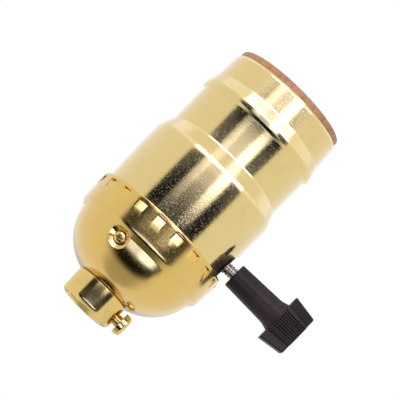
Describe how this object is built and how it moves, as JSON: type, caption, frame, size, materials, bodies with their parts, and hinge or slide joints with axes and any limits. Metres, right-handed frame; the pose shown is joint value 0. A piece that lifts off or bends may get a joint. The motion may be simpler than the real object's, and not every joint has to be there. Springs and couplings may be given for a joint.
{
  "type": "lamp holder",
  "caption": "Brass shell lamp holder with a domed cap, a ring of lanced windows, a threaded hub and a turn-knob switch.",
  "frame": {"origin": "centre of the threaded hub's end face", "axes": "+Z along the socket from the hub to the mouth, +X towards the knob"},
  "size_m": [0.0561, 0.0352, 0.0666],
  "materials": {
    "brass": "polished brass, gilt",
    "gilt_brass": "drawn brass sheet, bright gilt lacquer",
    "shell_brass": "drawn brass sheet, pale gilt, satin",
    "contact_brass": "plain brass sheet",
    "spring_bronze": "phosphor bronze strip",
    "steel": "turned steel, dull",
    "plated_steel": "nickel-plated steel",
    "fibre": "vulcanised fibre, reddish brown",
    "phenolic": "moulded phenolic, dull black",
    "black_phenolic": "moulded phenolic, dark brown-black, semi-gloss"
  },
  "bodies": {
    "holder": {"hub_bushing": "brass", "set_screw": "brass", "cap": "gilt_brass", "cap_screw": "brass", "cap_insulator": "fibre", "base_lower": "phenolic", "base_upper": "phenolic", "housing_rivets": "steel", "neutral_terminal": "contact_brass", "hot_terminal": "contact_brass", "neutral_screw": "plated_steel", "hot_screw": "brass", "feed_leaf": "spring_bronze", "takeoff_leaf": "spring_bronze", "screw_shell": "contact_brass", "insulating_disc": "fibre", "centre_contact": "spring_bronze", "contact_rivet": "brass"},
    "spindle": {"switch_shaft": "steel", "rotor": "phenolic", "bridge_contact": "contact_brass", "retaining_clip": "steel", "turn_knob": "black_phenolic"},
    "shell": {"outer_shell": "shell_brass", "shell_liner": "fibre"}
  },
  "joints": [
    {"name": "spindle_turn", "type": "hinge", "parent": "holder", "child": "spindle", "pos_m": [0, 0, 0.0289], "axis": [-1, 0, 0], "continuous": true, "deforming": ["feed_leaf", "takeoff_leaf"]},
    {"name": "shell_pull", "type": "slide", "parent": "holder", "child": "shell", "axis": [0, 0, 1], "range_m": [0, 0.046]}
  ]
}
